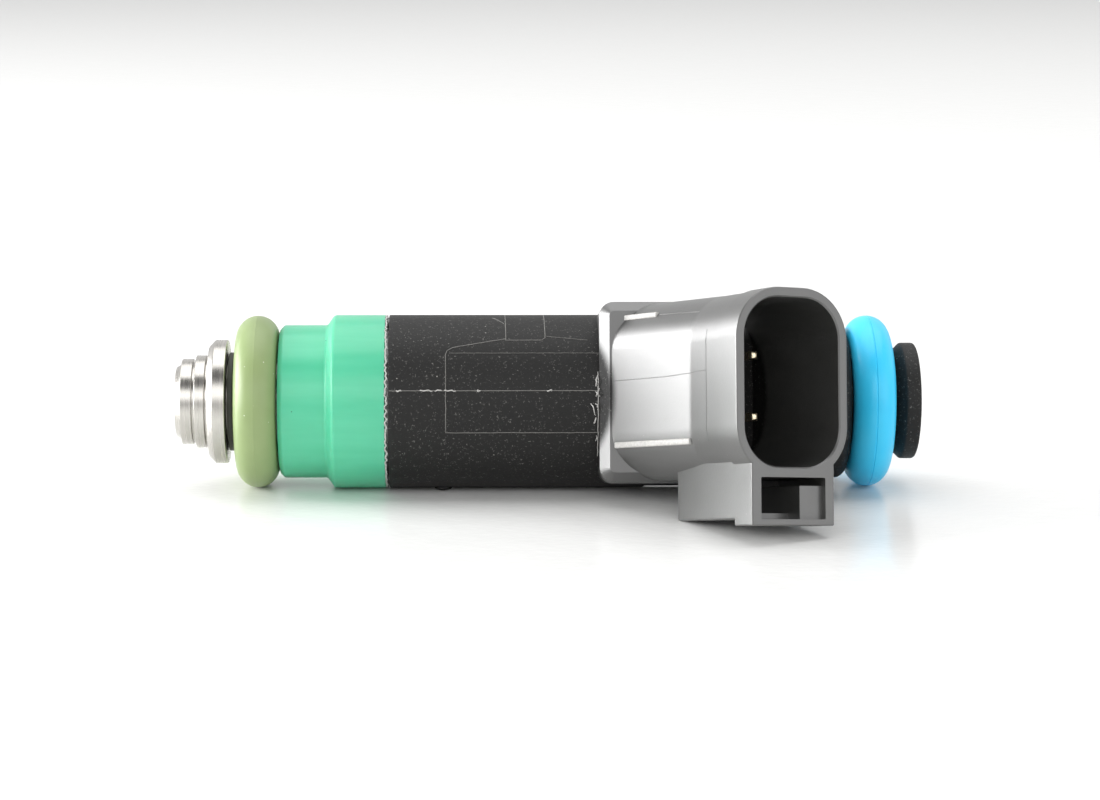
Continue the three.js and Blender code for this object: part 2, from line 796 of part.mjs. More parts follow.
place('terminal_upper', terminal(pinPlaces[0]), tinPlate);
place('terminal_lower', terminal(pinPlaces[1]), tinPlate);
place('overmould_body', overmouldBody(), blackNylon);
place('upper_o_ring', sealingRing(upperRingCentre), blueRubber);
place('filter_frame', filterFrame(), blackPlastic);
place('filter_screen', filterScreen(), screenCloth);
place('filter_collar', filterCollar(), brass);

export default injector;
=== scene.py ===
# %% [markdown]
# # A port fuel injector
# A fuel injector is a small solenoid valve. A steel nozzle sits in the intake manifold, a black
# nylon moulding holds the coil and the electrical connector, and a sealing ring at each end
# keeps the fuel in. The solids of the working model are loaded first and stay as they are. The
# pieces that show are then made again beside them with a finer surface, in the same place.

# %% Load the working model
import json
import math

import bmesh
import bpy
from mathutils import Matrix, Quaternion, Vector, noise


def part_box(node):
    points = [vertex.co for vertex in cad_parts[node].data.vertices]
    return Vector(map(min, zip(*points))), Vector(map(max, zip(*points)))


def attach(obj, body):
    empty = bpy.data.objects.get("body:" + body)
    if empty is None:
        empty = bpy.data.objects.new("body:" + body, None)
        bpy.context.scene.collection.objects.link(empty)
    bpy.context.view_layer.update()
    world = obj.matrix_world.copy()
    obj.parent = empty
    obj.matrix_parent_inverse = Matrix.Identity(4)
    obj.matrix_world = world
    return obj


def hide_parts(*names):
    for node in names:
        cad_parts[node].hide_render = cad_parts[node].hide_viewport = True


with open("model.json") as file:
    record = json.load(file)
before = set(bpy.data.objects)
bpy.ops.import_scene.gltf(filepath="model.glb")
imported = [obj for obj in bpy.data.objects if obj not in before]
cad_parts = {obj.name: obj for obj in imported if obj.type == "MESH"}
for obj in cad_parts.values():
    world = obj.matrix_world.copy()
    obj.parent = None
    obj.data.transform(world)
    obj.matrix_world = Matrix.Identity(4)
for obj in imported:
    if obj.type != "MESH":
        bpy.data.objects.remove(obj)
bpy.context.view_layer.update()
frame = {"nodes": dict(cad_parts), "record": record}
MM = 0.001

# %% [markdown]
# ## Where things are
# Every size that the working model can give is measured on it. A turned piece is known by where
# it starts and ends along the X axis and by its largest radius. The connector tower leans out of
# the barrel, so it has axes of its own: V across it, W along its long side and U up it. They come
# from the mount on the tower's rim, which points along U.

# %% Measure turned pieces and find the tower's axes
def span(node):
    """Start, end and largest radius of a turned piece, in millimetres."""
    low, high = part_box(node)
    radius = max(math.hypot(v.co.y, v.co.z) for v in frame["nodes"][node].data.vertices)
    return low.x / MM, high.x / MM, radius / MM


rim = next(m for m in frame["record"]["mounts"] if m["name"] == "connector_rim")
tower_u = Vector(rim["axis"]).normalized()
rest_roll = math.atan2(tower_u.z, -tower_u.y)
tower_tilt = math.asin(tower_u.x)
laid_down = Matrix.Rotation(-rest_roll, 4, "X")
tower_w = laid_down @ Vector((0, 0, 1))
tower_v = tower_w.cross(tower_u)
TOWER_REACH = 22.0
RIM_POINT_V, RIM_POINT_W = 4.85, 0.3
tower_foot = Vector(rim["pos_m"]) - MM * (
    TOWER_REACH * tower_u + RIM_POINT_V * tower_v + RIM_POINT_W * tower_w)
to_tower = Matrix((tower_v, tower_w, tower_u)).transposed().to_4x4()
to_tower.translation = tower_foot
print("tower leans", round(math.degrees(tower_tilt), 2), "degrees, and the injector is rolled by",
      round(math.degrees(rest_roll), 2))

# %% [markdown]
# ## Camera, floor and light
# A long lens stands a little above the injector and looks almost square at its side, so the rings
# read as narrow ovals and the barrel's edges stay parallel. The floor is white and slightly
# glossy. A studio for small parts is a white box: a wide light above, a soft one in front, and a
# strong one at the nozzle's end that skims the face of the tower and makes it shine. Two weaker
# ones, at the back left and at the right, lighten the edges and the tower's rim.

# %% Place the camera
CAMERA_DISTANCE = 240 * MM
LOOKED_AT = Vector((23.22 * MM, 0, 0))
camera_height = rest_roll - math.radians(3.4)
look = Vector((0, math.cos(camera_height), -math.sin(camera_height)))
upward = Vector((0, math.sin(camera_height), math.cos(camera_height)))
turn, nod, cant = math.radians(1.97), math.radians(0.02), math.radians(0.28)
aim = look + math.tan(turn) * Vector((1, 0, 0)) + math.tan(nod) * upward
camera = bpy.data.objects.new("camera", bpy.data.cameras.new("camera"))
camera.data.lens = 92.7
camera.data.sensor_width = 36
camera.data.clip_start = 0.01
camera.location = LOOKED_AT - CAMERA_DISTANCE * look
camera.rotation_mode = "QUATERNION"
camera.rotation_quaternion = aim.to_track_quat("-Z", "Y") @ Quaternion((0, 0, 1), cant)
bpy.context.scene.collection.objects.link(camera)
bpy.context.scene.camera = camera
bpy.context.scene.view_settings.view_transform = "Standard"
print("camera at", [round(c, 3) for c in camera.location])

# %% [markdown]
# ## A short way to write materials
# A material is a graph of nodes, and its maths is easier to read as a formula. `Wire` wraps a
# socket and adds a Math node for each operator, on either side of a number. `Graph` holds a node
# tree, and its `node` method makes any other node from its type, its settings and its inputs.
# `Finish` is the graph of one material, and its `here` is the surface point in millimetres.

# %% Wires and finishes
class Wire:
    def __init__(self, graph, socket):
        self.graph, self.socket = graph, socket

    def maths(self, operation, *others):
        return self.graph.node("ShaderNodeMath", {"operation": operation}, self, *others)

    def __add__(self, other):
        return self.maths("ADD", other)

    def __sub__(self, other):
        return self.maths("SUBTRACT", other)

    def __rsub__(self, other):
        return self.graph.node("ShaderNodeMath", {"operation": "SUBTRACT"}, other, self)

    def __mul__(self, other):
        return self.maths("MULTIPLY", other)

    def __pow__(self, other):
        return self.maths("POWER", other)

    __radd__, __rmul__ = __add__, __mul__


class Graph:
    def __init__(self, tree):
        self.tree = tree

    def node(self, kind, settings=None, *values, output=0, **named):
        """Makes a node. A value of None leaves a socket as it is."""
        made = self.tree.nodes.new(kind)
        for key, value in (settings or {}).items():
            if key != "stops":
                setattr(made, key, value)
                continue
            ramp = made.color_ramp
            ramp.elements.remove(ramp.elements[1])
            ramp.elements[0].position = value[0][0]
            for at, _ in value[1:]:
                ramp.elements.new(at)
            for element, (_, grey) in zip(ramp.elements, value):
                element.color = (grey, grey, grey, 1)
        for key, value in [*enumerate(values), *named.items()]:
            socket = made.inputs[key if isinstance(key, int) else key.replace("_", " ")]
            if isinstance(value, Wire):
                self.tree.links.new(value.socket, socket)
            elif value is not None:
                socket.default_value = value
        return Wire(self, made.outputs[output])


class Finish(Graph):
    def __init__(self, name, **uniform):
        self.material = bpy.data.materials.new(name)
        self.material.use_nodes = True
        super().__init__(self.material.node_tree)
        self.shader = self.tree.nodes["Principled BSDF"]
        for key, value in uniform.items():
            self.shader.inputs[key.replace("_", " ")].default_value = value
        place = self.node("ShaderNodeTexCoord", output="Object")
        self.here = self.node("ShaderNodeMapping", None, place, Scale=(1 / MM,) * 3)
        self.x, self.y, self.z = (self.node("ShaderNodeSeparateXYZ", None, self.here, output=axis)
                                  for axis in "XYZ")
        self.radius = (self.y * self.y + self.z * self.z) ** 0.5

    def noise(self, scale, detail=3.0, where=None):
        """Cloudy noise between 0 and 1, with its scale in lumps for each millimetre."""
        return self.node("ShaderNodeTexNoise", None, Vector=where or self.here,
                         Scale=scale, Detail=detail)

    def ramp(self, value, start, end):
        """0 below start, 1 above end, and smooth in between."""
        settings = {"interpolation_type": "SMOOTHSTEP"}
        return self.node("ShaderNodeMapRange", settings, value, start, end, 0.0, 1.0)

    def specks(self, scale, size, share):
        """Sparse round dots: 1 inside a dot. Share is the part of the cells that hold one."""
        cells = {"feature": "F1"}
        near = self.node("ShaderNodeTexVoronoi", cells, output="Distance",
                         Vector=self.here, Scale=scale)
        pick = self.node("ShaderNodeTexVoronoi", cells, output="Color",
                         Vector=self.here, Scale=scale)
        chosen = self.node("ShaderNodeSeparateColor", None, pick, output="Red")
        return (1 - self.ramp(near, size * 0.6, size)) * self.ramp(chosen, 1 - share, 1.001 - share)

    def mix(self, mask, below, above):
        """One colour where the mask is 0 and another where it is 1."""
        colours = [c if isinstance(c, Wire) else (*c, 1) for c in (below, above)]
        number_sockets = [None] * 5  # the ones between the factor and the colours
        return self.node("ShaderNodeMix", {"data_type": "RGBA"}, mask, *number_sockets, *colours,
                         output=2)

    def drive(self, **sockets):
        """Links what changes over the surface to the shader's own sockets."""
        for key, wire in sockets.items():
            self.tree.links.new(wire.socket, self.shader.inputs[key.replace("_", " ")])
        return self

    def relief(self, height, depth):
        """A bump of so many millimetres for a height between 0 and 1."""
        bump = self.node("ShaderNodeBump", None, Height=height, Distance=depth * MM, Strength=1.0)
        return self.drive(Normal=bump)


# %% [markdown]
# ## Floor and lights
# The floor is a white laminate sheet. Its faint waviness is what breaks up the reflection under
# the injector. The world is white too, but darker overhead, because the polished steel shows a
# dark band between the top light and the front one, and without it the metal looks like paper.

# %% Build the studio
FLOOR_SIZE = 12.0
paper = Finish("floor_sheet", Roughness=0.22, Specular_IOR_Level=0.35)
waves = paper.noise(0.35, 2.0) * 0.7 + paper.noise(1.3, 2.0) * 0.3
paper.drive(Base_Color=paper.mix(waves, (0.86, 0.86, 0.85), (0.90, 0.90, 0.89)))
paper.relief(waves, 0.05)
sheet = bmesh.new()
bmesh.ops.create_grid(sheet, x_segments=1, y_segments=1, size=FLOOR_SIZE / 2)
bmesh.ops.translate(sheet, vec=(0, 0, -span("upper_o_ring")[2] * MM), verts=sheet.verts)
floor_mesh = bpy.data.meshes.new("floor")
sheet.to_mesh(floor_mesh)
sheet.free()
floor_mesh.materials.append(paper.material)
floor = bpy.data.objects.new("floor", floor_mesh)
bpy.context.scene.collection.objects.link(floor)


def soft_light(name, toward, distance, size, radiance):
    """A light panel that faces the injector from a direction, with its brightness per area."""
    data = bpy.data.lights.new(name, "AREA")
    data.shape = "RECTANGLE"
    data.size, data.size_y = size
    data.energy = radiance * math.pi * size[0] * size[1]
    light = bpy.data.objects.new(name, data)
    middle = Vector((0.035, 0, 0))
    light.location = middle + Vector(toward).normalized() * distance
    light.rotation_mode = "QUATERNION"
    light.rotation_quaternion = Vector(toward).to_track_quat("Z", "Y")
    bpy.context.scene.collection.objects.link(light)
    print(name, "at", [round(c, 2) for c in light.location])


soft_light("top_light", (0.0, 0.25, 1.0), 0.9, (1.3, 0.9), 2.1)
soft_light("front_light", (-0.1, -1.0, 0.55), 1.1, (1.2, 0.5), 1.5)
soft_light("left_light", (-1.0, 0.06, 0.14), 0.6, (0.5, 0.36), 12.0)
soft_light("back_left_light", (-0.87, 0.49, 0.10), 0.7, (0.4, 0.3), 4.0)
soft_light("right_light", (0.8, -0.6, 0.25), 0.9, (0.6, 0.6), 1.2)

world = bpy.data.worlds.new("white_room")
bpy.context.scene.world = world
world.use_nodes = True
room = Graph(world.node_tree)
facing = room.node("ShaderNodeTexCoord", output="Generated")
rise = room.node("ShaderNodeSeparateXYZ", None, facing, output="Z")
stops = ((0.0, 0.62), (0.49, 0.62), (0.52, 0.45), (0.60, 0.80), (0.80, 0.70), (0.90, 0.10),
         (0.985, 0.10), (1.0, 0.8))
shade = room.node("ShaderNodeValToRGB", {"stops": stops}, rise * 0.5 + 0.5)
glow = room.tree.nodes["Background"]
room.tree.links.new(shade.socket, glow.inputs["Color"])
glow.inputs["Strength"].default_value = 1.15
print("world with", len(stops), "stops")

# %% [markdown]
# ## Metal finishes
# The nozzle is turned on a lathe, so its tool marks are fine rings: their height depends on the
# place along the axis, and on a flat face on the radius. A stretched noise that hardly changes
# round the axis gives such rings with the small breaks that real ones have.

# %% Turned steel and the plainer metals
def turned(name, colour, roughness, marks, depth):
    finish = Finish(name, Metallic=1.0)
    rings = finish.node("ShaderNodeCombineXYZ", None, finish.x * marks, finish.radius * marks,
                        finish.y * 0.12)
    height = finish.noise(1.0, 4.0, rings)
    worn = finish.noise(0.6, 3.0)
    dark = tuple(0.6 * c for c in colour)
    finish.drive(Base_Color=finish.mix(height * 0.6 + worn * 0.4, dark, colour),
                 Roughness=roughness + height * 0.14)
    return finish.relief(height, depth)


TURNED_STEEL = turned("turned_steel", (0.66, 0.64, 0.60), 0.20, 9.0, 0.014)
HARD_STEEL = turned("hard_steel", (0.84, 0.84, 0.84), 0.08, 14.0, 0.003)
MAGNETIC_STEEL = turned("magnetic_steel", (0.58, 0.58, 0.57), 0.3, 6.0, 0.008)
SPRING_STEEL = turned("spring_steel", (0.6, 0.6, 0.59), 0.25, 3.0, 0.003)
COPPER_WIRE = turned("copper_wire", (0.71, 0.34, 0.15), 0.28, 7.0, 0.05)
BRASS_RING = turned("brass_ring", (0.80, 0.62, 0.30), 0.2, 8.0, 0.006)
TINNED_PIN = turned("tinned_pin", (0.95, 0.83, 0.60), 0.2, 2.0, 0.006)
print("seven metals")

# %% [markdown]
# ## Rubber
# The sealing rings are moulded rubber with a satin skin: a soft broad shine, a very slight
# unevenness, and dust, which clings to rubber as small pale dots. A little more roughness in
# patches keeps the highlight from looking printed.

# %% Olive and blue rubber
def rubber(name, colour, light_colour, roughness, dust):
    finish = Finish(name, Specular_IOR_Level=0.45)
    cloud = finish.noise(0.45, 3.0)
    skin = finish.mix(cloud, colour, light_colour)
    dots = finish.specks(2.6, 0.14, dust)
    finish.drive(Base_Color=finish.mix(dots, skin, (0.82, 0.84, 0.74)),
                 Roughness=roughness + cloud * 0.12 + dots * 0.2)
    return finish.relief(finish.noise(9.0, 2.0) * 0.6 + dots * 0.5, 0.006)


OLIVE_RUBBER = rubber("olive_rubber", (0.235, 0.310, 0.128), (0.285, 0.370, 0.165), 0.30, 0.05)
BLUE_RUBBER = rubber("blue_rubber", (0.030, 0.58, 0.95), (0.050, 0.64, 0.98), 0.27, 0.012)
print("two rubbers")

# %% [markdown]
# ## Plastics
# The sleeve is a smooth mint green moulding with faint flow bands along it. The black nylon is
# filled with glass fibre: the fibres reach the surface as fine pale grains, so it looks matt and
# speckled on the barrel, while the polished mould of the tower leaves a smoother, shinier skin.

# %% Green sleeve and black nylon
def green_plastic():
    finish = Finish("green_plastic", Specular_IOR_Level=0.5, Subsurface_Weight=0.12,
                    Subsurface_Scale=0.8 * MM)
    bands = finish.node("ShaderNodeCombineXYZ", None, finish.x * 0.15, finish.y * 1.1,
                        finish.z * 1.1)
    flow = finish.noise(1.0, 3.0, bands)
    skin = finish.mix(flow, (0.066, 0.475, 0.268), (0.108, 0.560, 0.345))
    dots = finish.specks(1.1, 0.07, 0.035)
    finish.drive(Base_Color=finish.mix(dots, skin, (0.02, 0.16, 0.09)),
                 Roughness=0.27 + flow * 0.08)
    return finish.relief(flow * 0.5 + finish.noise(7.0, 2.0) * 0.5, 0.0025)


def black_nylon():
    finish = Finish("black_nylon", Specular_IOR_Level=0.38, Coat_Roughness=0.38,
                    Coat_IOR=2.05)
    grain = finish.noise(4.2, 4.0)
    fine = finish.noise(9.5, 3.0)
    cloud = finish.noise(0.5, 3.0)
    fibres = finish.ramp(grain * 0.5 + fine * 0.5, 0.56, 0.70)
    dust = finish.specks(1.5, 0.085, 0.09)
    polished = finish.ramp(finish.radius, 8.0, 8.8)
    matt = finish.mix(fibres, (0.0055, 0.0053, 0.0050), (0.15, 0.147, 0.139))
    smooth = finish.mix(cloud, (0.024, 0.024, 0.023), (0.042, 0.042, 0.040))
    skin = finish.mix(polished, matt, smooth)
    finish.drive(Base_Color=finish.mix(dust * (1 - polished * 0.8), skin, (0.42, 0.41, 0.38)),
                 Roughness=0.60 + fibres * 0.1 - polished * (0.18 - cloud * 0.06),
                 Coat_Weight=polished * 0.85)
    return finish.relief(grain * 0.5 + fine * 0.3 + cloud * 0.2, 0.028)


def plain_plastic(name, dark, light, roughness):
    finish = Finish(name)
    grain = finish.noise(5.0, 3.0)
    finish.drive(Base_Color=finish.mix(grain, dark, light), Roughness=roughness + grain * 0.15)
    return finish.relief(grain, 0.01)


GREEN_PLASTIC = green_plastic()
BLACK_NYLON = black_nylon()
# Pale nylon for the torn flash, the ragged rim and the two tower ribs. On the ribs the pale colour
# is a painted highlight.
FLASH_AND_HIGHLIGHT_NYLON = plain_plastic("flash_and_highlight_nylon", (0.30, 0.29, 0.28), (0.62, 0.61, 0.59), 0.4)
SEAM_NYLON = plain_plastic("seam_nylon", (0.060, 0.058, 0.055), (0.26, 0.255, 0.24), 0.42)
BLACK_WASHER = plain_plastic("black_washer", (0.035, 0.036, 0.030), (0.075, 0.078, 0.065), 0.45)
BOBBIN_NYLON = plain_plastic("bobbin_nylon", (0.78, 0.74, 0.66), (0.86, 0.82, 0.76), 0.5)
FILTER_PLASTIC = plain_plastic("filter_plastic", (0.012, 0.012, 0.012), (0.03, 0.03, 0.03), 0.45)
print("seven plastics")


# %% [markdown]
# ## Filter cloth
# The inlet filter is a fine plain weave of nylon thread. Two crossed waves, one along the tube
# and one round it, make the threads, and where both are low there is a dark hole.

# %% Woven cloth
def woven_cloth():
    finish = Finish("filter_cloth", Roughness=0.7)
    threads = 5.0
    along = (finish.x * (2 * math.pi * threads)).maths("SINE")
    angle = finish.y.maths("ARCTAN2", finish.z)
    around = (angle * 48.0).maths("SINE")
    weave = along * around * 0.5 + 0.5
    finish.drive(Base_Color=finish.mix(weave, (0.35, 0.33, 0.30), (0.88, 0.86, 0.82)))
    return finish.relief(weave, 0.03)


FILTER_CLOTH = woven_cloth()
print("one cloth")

# %% [markdown]
# ## Turning a piece
# A turned piece is an outline spun once round the X axis, as a lathe does. The outline's corners
# are rounded while it is still a line, each by its own amount, so every edge catches a thin
# highlight. After a full spin the doubles on the axis are merged and the faces are turned out.

# %% Lathe helpers
FULL_TURN = 2 * math.pi
LATHE_STEPS = 192
MERGE = 1e-6


def outline(bm, corners, closed=True):
    """Joins (x, radius, rounding) corners, in millimetres, into a line beside the X axis."""
    points = [bm.verts.new((x * MM, 0.0, radius * MM)) for x, radius, _ in corners]
    for start, end in zip(points, points[1:] + points[:1] if closed else points[1:]):
        bm.edges.new((start, end))
    for point, (_, _, rounding) in zip(points, corners):
        if rounding:
            bmesh.ops.bevel(bm, geom=[point], offset=rounding * MM, offset_type="OFFSET",
                            affect="VERTICES", segments=5, profile=0.5, material=-1)


def spin(bm, steps=LATHE_STEPS):
    """Spins everything in the bmesh once round the X axis and closes it."""
    bmesh.ops.spin(bm, geom=bm.verts[:] + bm.edges[:], cent=(0, 0, 0), axis=(1, 0, 0),
                   dvec=(0, 0, 0), angle=FULL_TURN, steps=steps, use_merge=True,
                   use_normal_flip=False, use_duplicate=False)
    bmesh.ops.remove_doubles(bm, verts=bm.verts, dist=MERGE)
    bmesh.ops.recalc_face_normals(bm, faces=bm.faces)
    return bm


def turn_piece(corners, closed=True, steps=LATHE_STEPS):
    bm = bmesh.new()
    outline(bm, corners, closed)
    return spin(bm, steps)


def finished(name, bm, finish, slot, *nodes, sharp=32):
    """Makes the object, smooths it, and puts it in the place of the nodes that it stands for."""
    whole = all(edge.is_manifold for edge in bm.edges)
    for face in bm.faces:
        face.smooth = True
    for edge in bm.edges:
        edge.smooth = edge.calc_face_angle(0) < math.radians(sharp)
    mesh = bpy.data.meshes.new(name)
    bm.to_mesh(mesh)
    bm.free()
    mesh.materials.append(finish.material)
    piece = bpy.data.objects.new(name, mesh)
    bpy.context.scene.collection.objects.link(piece)
    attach(piece, "injector_body")
    if nodes:
        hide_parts(*nodes)
    print(name, len(mesh.polygons), "faces", "closed" if whole else "OPEN")
    return piece


# %% [markdown]
# ## Nozzle
# The nose is one turned steel piece with three lands of growing size and a narrow groove between
# them. Behind the largest land the neck carries the black washer and the olive ring, and the rest
# of the tube runs on inside the sleeve and the barrel, where the valve slides in its bore.

# %% Turn the nozzle
nozzle_start, nozzle_end, _ = span("nozzle_body")
sleeve_start, sleeve_end, sleeve_radius = span("locating_sleeve")
armature_start, _, armature_radius = span("armature")
washer_start, washer_end, washer_radius = span("backup_washer")
PLATE_BORE, NECK, TUBE = 2.5, 3.6, 3.7
VALVE_BORE = armature_radius + 0.15
valve_room = armature_start - 0.3
BREAK = 0.06
nozzle = turn_piece([
    (nozzle_start, PLATE_BORE, 0.04), (nozzle_start, 2.9, BREAK), (0.5, 3.2, BREAK),
    (0.5, 3.6, BREAK), (1.45, 3.6, BREAK), (1.45, 3.25, 0.03), (1.7, 3.25, 0.03),
    (1.7, 3.9, BREAK), (2.55, 3.9, BREAK), (2.55, 3.55, 0.03), (2.8, 3.55, 0.03),
    (2.8, 4.7, BREAK), (3.3, 5.2, BREAK), (4.35, 5.2, 0.10), (4.35, NECK, 0.05),
    (sleeve_start, NECK, 0), (sleeve_start, TUBE, 0), (nozzle_end, TUBE, 0),
    (nozzle_end, VALVE_BORE, 0), (valve_room, VALVE_BORE, 0), (valve_room, PLATE_BORE, 0),
])
finished("steel_nozzle", nozzle, TURNED_STEEL, "turned_steel", "nozzle_body")

# %% [markdown]
# ## Spray plate
# The plate closes the nose. It is a thin ground disc with a shallow dished centre, and four fine
# holes throw the spray. The holes are cut with a boolean, because round holes through a disc that
# was spun have no loops of their own to extrude.

# %% Cutting and joining closed meshes
def combine(whole, tool, operation):
    """Joins two closed bmeshes, or cuts one with the other, and gives back one bmesh."""
    parts = []
    for bm in (whole, tool):
        mesh = bpy.data.meshes.new("working")
        bm.to_mesh(mesh)
        bm.free()
        parts.append(bpy.data.objects.new("working", mesh))
        bpy.context.scene.collection.objects.link(parts[-1])
    modifier = parts[0].modifiers.new("combine", "BOOLEAN")
    modifier.operation, modifier.object, modifier.solver = operation, parts[1], "MANIFOLD"
    bpy.context.view_layer.update()
    result = bmesh.new()
    result.from_object(parts[0], bpy.context.evaluated_depsgraph_get())
    for part in parts:
        mesh = part.data
        bpy.data.objects.remove(part)
        bpy.data.meshes.remove(mesh)
    bmesh.ops.remove_doubles(result, verts=result.verts, dist=MERGE / 10)
    return result


# %% Spin the plate and drill it
plate_start, plate_end, plate_radius = span("orifice_plate")
plate = turn_piece([
    (0.06, 0, 0), (0.06, 1.35, 0.05), (plate_start, 1.45, 0.02), (plate_start, plate_radius, 0.04),
    (plate_end, plate_radius, 0.02), (plate_end, 0, 0),
], closed=False, steps=96)
HOLE_RADIUS, HOLE_PITCH = 0.16, 0.85
for quarter in range(4):
    angle = FULL_TURN * (quarter + 0.5) / 4
    drill = bmesh.new()
    bmesh.ops.create_cone(drill, cap_ends=True, segments=24, radius1=HOLE_RADIUS * MM,
                          radius2=HOLE_RADIUS * MM, depth=3 * MM)
    bmesh.ops.rotate(drill, verts=drill.verts, cent=(0, 0, 0),
                     matrix=Matrix.Rotation(math.pi / 2, 3, "Y"))
    hole = Vector((0, HOLE_PITCH * math.cos(angle), HOLE_PITCH * math.sin(angle))) * MM
    bmesh.ops.translate(drill, vec=hole, verts=drill.verts)
    plate = combine(plate, drill, "DIFFERENCE")
finished("spray_plate", plate, HARD_STEEL, "hard_steel", "orifice_plate")

# %% [markdown]
# ## Washer and sealing rings
# A sealing ring is a circle spun round the axis. Rubber rings are moulded in two halves, so a thin
# line runs round the outside where the halves met. On the olive ring it stands slightly proud, and
# on the blue ring it is a fine groove that reads as a dark line.

# %% Spin the washer and the two rings
washer = turn_piece([
    (washer_start, 3.7, 0.05), (washer_start, washer_radius, 0.1),
    (washer_end, washer_radius, 0.1), (washer_end, 3.7, 0.05),
])
finished("neck_washer", washer, BLACK_WASHER, "black_washer", "backup_washer")


def sealing_ring(name, node, finish, slot, line_width, line_height):
    start, end, radius = span(node)
    section = (end - start) / 2
    middle = Vector(((start + end) / 2 * MM, 0, (radius - section) * MM))
    bm = bmesh.new()
    bmesh.ops.create_circle(bm, cap_ends=False, segments=56, radius=section * MM)
    quarter_turn = Matrix.Rotation(math.pi / 2, 3, "X")
    bmesh.ops.rotate(bm, verts=bm.verts, cent=(0, 0, 0), matrix=quarter_turn)
    bmesh.ops.translate(bm, vec=middle, verts=bm.verts)
    outermost = max(bm.verts, key=lambda v: v.co.z)
    bmesh.ops.bevel(bm, geom=[outermost], offset=line_width * MM, offset_type="OFFSET",
                    affect="VERTICES", segments=2, profile=0.5, material=-1)
    crest = max(bm.verts, key=lambda v: v.co.z)
    crest.co.z = (radius + line_height) * MM
    spin(bm, 224)
    return finished(name, bm, finish, slot, node, sharp=14)


sealing_ring("olive_ring", "lower_o_ring", OLIVE_RUBBER, "olive_rubber", 0.055, 0.012)
sealing_ring("blue_ring", "upper_o_ring", BLUE_RUBBER, "blue_rubber", 0.05, -0.045)

# %% [markdown]
# ## Green sleeve
# The sleeve locates the injector in the manifold. It has a narrow nose, a short cone and a skirt
# that laps over the steel can. Its mould left a small chamfer at the nose and soft edges on the
# cone, and they catch the light as thin lines. Like every turned piece it is one spun outline,
# whose corners carry their own rounding.

# %% Turn the sleeve
CAN_BORE, SLEEVE_BORE, CAN_LAP = 6.15, 3.85, 1.55
sleeve = turn_piece([
    (sleeve_start, SLEEVE_BORE, 0.1), (sleeve_start, 6.09, 0.06), (9.10, 6.44, 0.12),
    (12.70, 6.44, 0.16), (13.30, sleeve_radius, 0.18), (sleeve_end, sleeve_radius, 0.06),
    (sleeve_end, CAN_BORE, 0.05), (sleeve_end - CAN_LAP, CAN_BORE, 0),
    (sleeve_end - CAN_LAP, SLEEVE_BORE, 0),
])
finished("green_sleeve", sleeve, GREEN_PLASTIC, "green_plastic", "locating_sleeve")

# %% [markdown]
# ## Black moulding: the turned part
# The body is moulded over the coil in one shot. Its barrel, the smaller rear barrel, the groove of
# the blue ring and the inlet flange are one outline, spun. The tower, its root and the latch guard
# are modelled next and joined to it.

# %% Turn the barrel
body_start, inlet_face, _ = span("overmould_body")
ring_start, ring_end, _ = span("upper_o_ring")
BARREL, REAR_BARREL, RING_NECK, FLANGE = 7.3, 6.55, 3.6, 4.92
barrel_end = 39.3
body = turn_piece([
    (body_start, 0, 0), (body_start, BARREL, 0.12), (barrel_end, BARREL, 0.10),
    (barrel_end + 0.7, REAR_BARREL, 0.10), (ring_start - 0.12, REAR_BARREL, 0.90),
    (ring_start - 0.12, RING_NECK, 0.10), (ring_end + 0.12, RING_NECK, 0.06),
    (ring_end + 0.12, 3.95, 0.06), (inlet_face - 1.2, FLANGE, 0.12), (inlet_face, FLANGE, 0.25),
    (inlet_face, 0, 0),
], closed=False)
print("barrel", len(body.faces), "faces")


# %% [markdown]
# ## Black moulding: the tower
# The tower is modelled standing upright, with V to the right, W to the back and U up. A rectangle
# gets its rounded corners first, then the face is raised in stages: the nozzle side starts wide at
# the root and comes in to a crease, and near the rim a collar stands slightly proud. The finished
# tower is laid into its place by one matrix.

# %% Raise the tower
TOWER_LOW, TOWER_HIGH, TOWER_HALF, TOWER_CORNER = 5.15, 5.25, 7.45, 4.0
TOWER_W = 0.3
COLLAR_STEP, COLLAR_U, CREASE_U, ROOT_U, ROOT_SPREAD = 0.12, 19.4, 15.04, 5.6, 1.73
WALL = 0.8
CORNER_STEPS = 14


def rounded_face(bm, low, high, half, corner, u):
    """A rectangle in V and W at height U, with rounded corners, as one face."""
    bmesh.ops.create_grid(bm, x_segments=1, y_segments=1, size=1)
    bmesh.ops.scale(bm, vec=((low + high) / 2 * MM, half * MM, 1), verts=bm.verts)
    centre = Vector(((high - low) / 2, TOWER_W, u)) * MM
    bmesh.ops.translate(bm, vec=centre, verts=bm.verts)
    bmesh.ops.bevel(bm, geom=bm.verts[:], offset=corner * MM, offset_type="OFFSET",
                    affect="VERTICES", segments=CORNER_STEPS, profile=0.5, material=-1)
    return bm.faces[:][0]


def raise_face(bm, face, height, spread=0.0, grow=0.0):
    """Extrudes a face up, moves its low V side out, and grows it all round."""
    is_foot = all(edge.is_boundary for edge in face.edges)
    made = bmesh.ops.extrude_face_region(bm, geom=[face])["geom"]
    top = next(g for g in made if isinstance(g, bmesh.types.BMFace))
    if not is_foot:
        bmesh.ops.delete(bm, geom=[face], context="FACES_ONLY")
    verts = [g for g in made if isinstance(g, bmesh.types.BMVert)]
    bmesh.ops.translate(bm, vec=(0, 0, height * MM), verts=verts)
    low_side = [v for v in verts if v.co.x < 0]
    bmesh.ops.translate(bm, vec=(-spread * MM, 0, 0), verts=low_side)
    if grow:
        middle = Matrix.Translation((0, -TOWER_W * MM, 0))
        factors = (1 + grow / TOWER_LOW, 1 + grow / TOWER_HALF, 1)
        bmesh.ops.scale(bm, vec=factors, space=middle, verts=verts)
    return top


